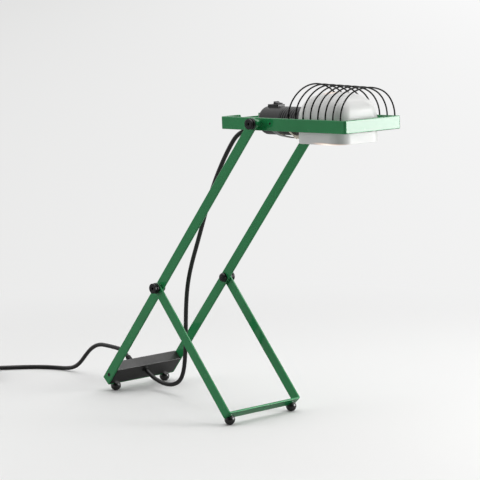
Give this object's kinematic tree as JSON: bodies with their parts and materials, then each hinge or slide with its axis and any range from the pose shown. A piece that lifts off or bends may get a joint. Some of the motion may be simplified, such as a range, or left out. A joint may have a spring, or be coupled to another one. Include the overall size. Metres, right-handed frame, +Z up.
{
  "type": "table lamp",
  "caption": "Table lamp on a folding frame of flat bar, with a tilting caged head, a small shade under arched wires, a switch and a mains lead.",
  "frame": {"origin": "on the floor, at the middle of the lamp's box without its mains lead", "axes": "+Z up, +X the way the head reaches, Y along every pivot"},
  "size_m": [0.7992, 0.2963, 0.4616],
  "materials": {
    "green_paint": "semi-gloss green stove enamel",
    "white_paint": "satin white stove enamel",
    "black_paint": "satin black",
    "black_plastic": "fine matt moulding",
    "black_bakelite": "soft gloss",
    "cream_plastic": "glazed cream",
    "black_rubber": "matt rubber",
    "cord_black": "matt flexible lead",
    "steel": "zinc plated",
    "dark_steel": "blackened",
    "brass": "bare",
    "nickel": "nickel plated",
    "bulb_glass": "frosted inside"
  },
  "bodies": {
    "base": {"main_frame": "green_paint", "knee_bolts": "dark_steel", "knee_washers": "steel", "knee_nuts": "black_plastic", "knee_knobs": "black_plastic", "box_housing": "black_paint", "box_cover": "black_paint", "box_cover_screws": "dark_steel", "box_end_screws": "dark_steel", "terminal_block": "cream_plastic", "ballast_blocks": "steel", "box_grommet": "black_rubber", "mains_relief": "black_rubber", "rear_feet": "black_rubber", "rear_foot_screws": "steel", "lamp_cord": "cord_black", "mains_lead": "cord_black", "lead_coil": "cord_black", "lead_tail": "cord_black", "coil_tie": "black_plastic", "plug_body": "black_plastic", "plug_pins": "nickel"},
    "legs": {"front_leg_frame": "green_paint", "front_feet": "black_rubber", "front_foot_screws": "steel"},
    "head": {"head_frame": "green_paint", "guard_wires": "black_paint", "shade": "white_paint", "vent_collar": "cream_plastic", "holder_strap": "black_paint", "strap_boss": "cream_plastic", "strap_screws": "dark_steel", "holder_body": "black_bakelite", "holder_sleeve": "black_bakelite", "holder_insert": "cream_plastic", "holder_contacts": "brass", "rocker_pin": "steel", "bulb_glass": "bulb_glass", "bulb_cap": "nickel", "head_spacers": "green_paint", "head_bolts": "dark_steel", "head_knobs": "black_plastic", "holder_grommet": "black_rubber"},
    "rocker": {"switch_rocker": "black_bakelite"}
  },
  "joints": [
    {"name": "leg_fold", "type": "hinge", "parent": "base", "child": "legs", "pos_m": [-0.1117, 0, 0.1674], "axis": [0, 1, 0], "range_deg": [-45, 82]},
    {"name": "head_tilt", "type": "hinge", "parent": "base", "child": "head", "pos_m": [0.08192, 0, 0.40821], "axis": [0, 1, 0], "range_deg": [-90, 131], "deforming": ["lamp_cord"]},
    {"name": "rocker_tip", "type": "hinge", "parent": "head", "child": "rocker", "pos_m": [0.06382, 0, 0.42625], "axis": [0, 1, 0], "range_deg": [-30, 0]}
  ]
}
